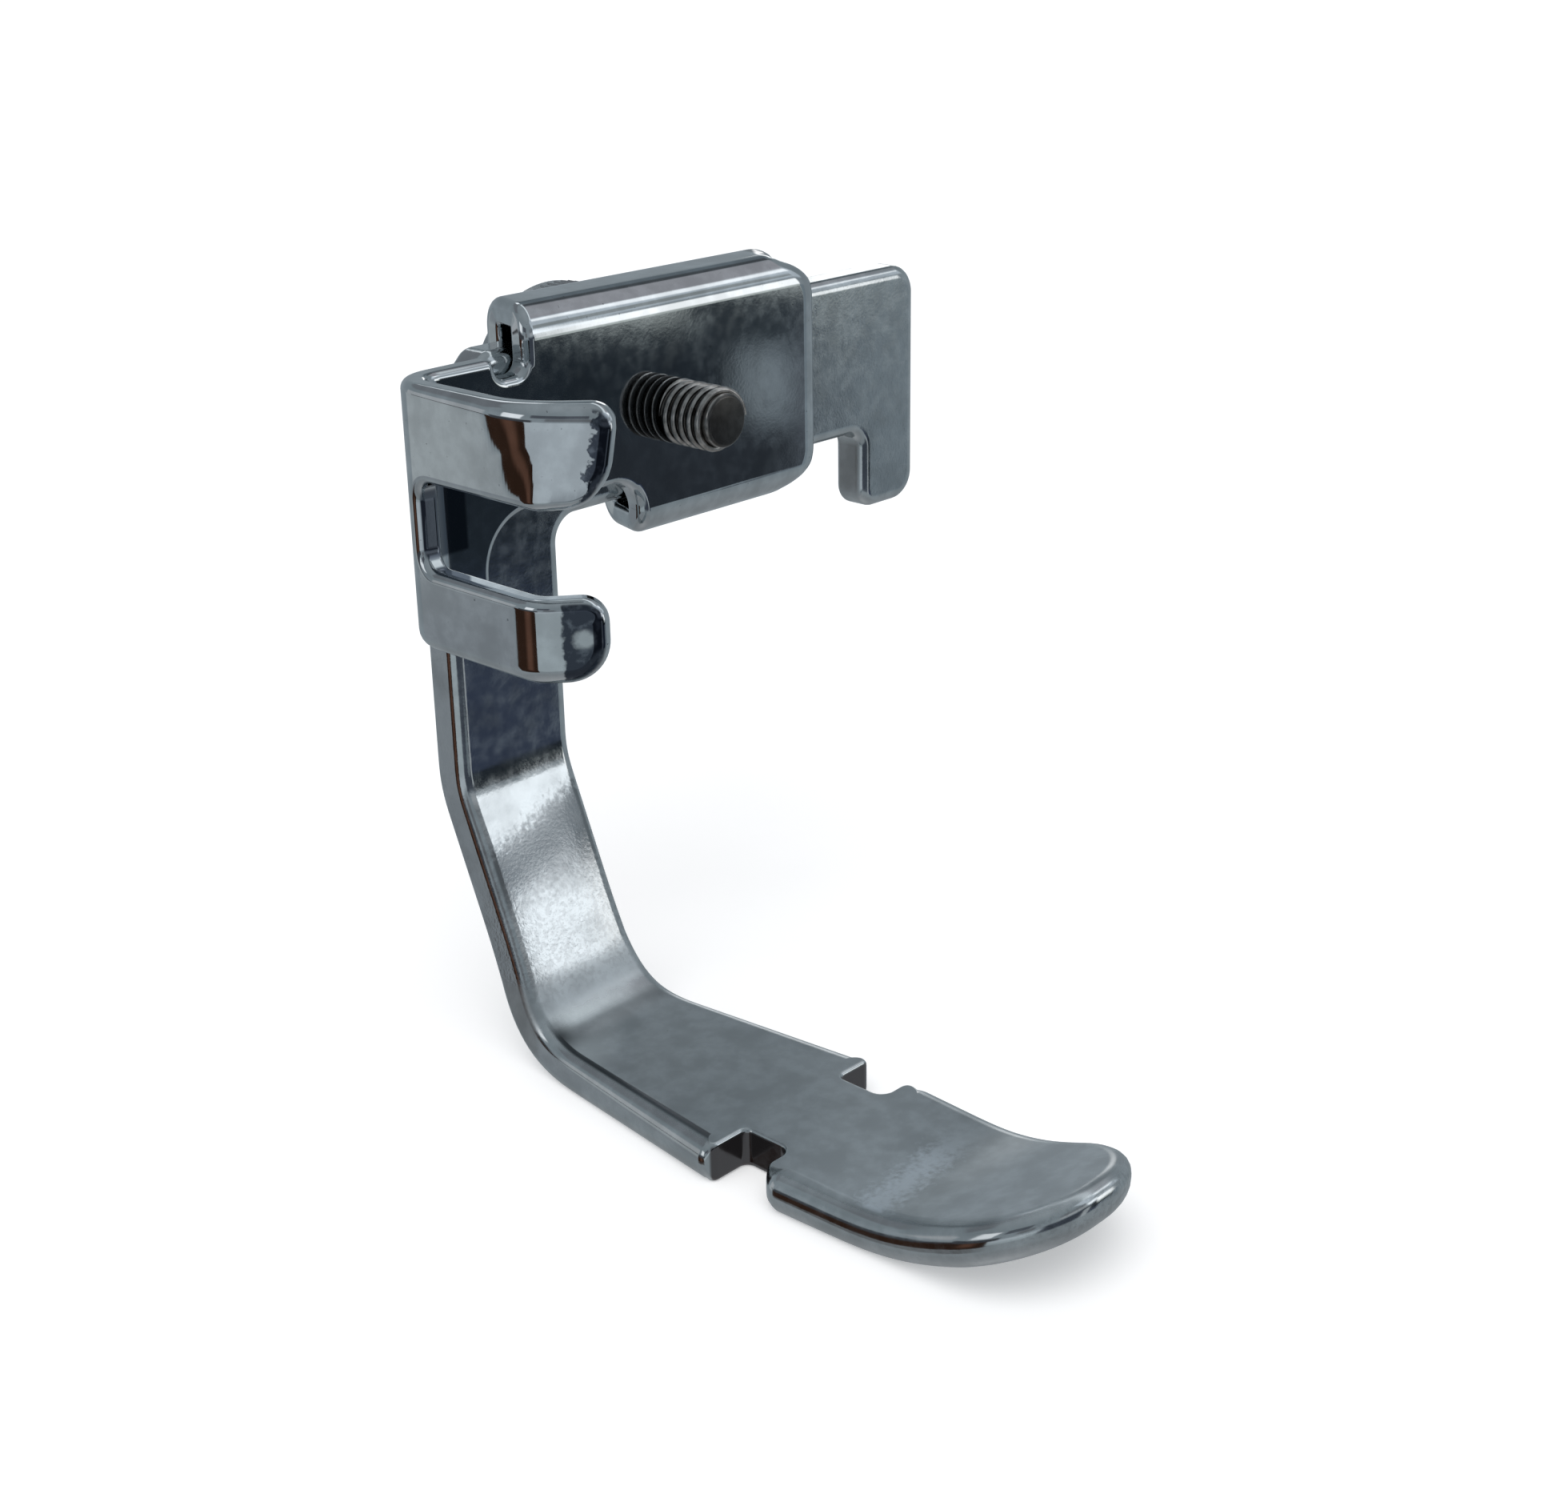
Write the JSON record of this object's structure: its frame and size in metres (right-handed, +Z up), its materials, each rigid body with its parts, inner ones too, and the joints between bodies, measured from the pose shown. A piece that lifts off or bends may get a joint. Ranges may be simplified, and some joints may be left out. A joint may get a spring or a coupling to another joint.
{
  "type": "sewing machine presser foot",
  "caption": "Narrow high-shank presser foot with needle notches, a bar that slides sideways in a folded bracket, and a knurled thumb screw that clamps it.",
  "frame": {"origin": "on the sole, midway between the two needle notches", "axes": "+Z up, -Y towards the person who sews, +X along the bar, away from the presser bar"},
  "size_m": [0.0336, 0.0407, 0.0332],
  "materials": {
    "bracket_chrome": "chrome plated sheet steel, tumbled edges, satin flats",
    "arm_chrome": "chrome plated strip steel, polished round edges, fine grain on the flats",
    "screw_steel": "plated steel, knurled head, dark cut end"
  },
  "bodies": {
    "bracket": {"shank_bracket": "bracket_chrome"},
    "arm": {"foot_arm": "arm_chrome"},
    "screw": {"thumb_screw": "screw_steel"}
  },
  "joints": [
    {"name": "arm_slide", "type": "slide", "parent": "bracket", "child": "arm", "axis": [1, 0, 0], "range_m": [-0.0045, 0.00404]},
    {"name": "screw_turn", "type": "hinge", "parent": "bracket", "child": "screw", "pos_m": [0.0098, 0.017, 0.0272], "axis": [0, 1, 0], "range_deg": [0, 1080]}
  ]
}
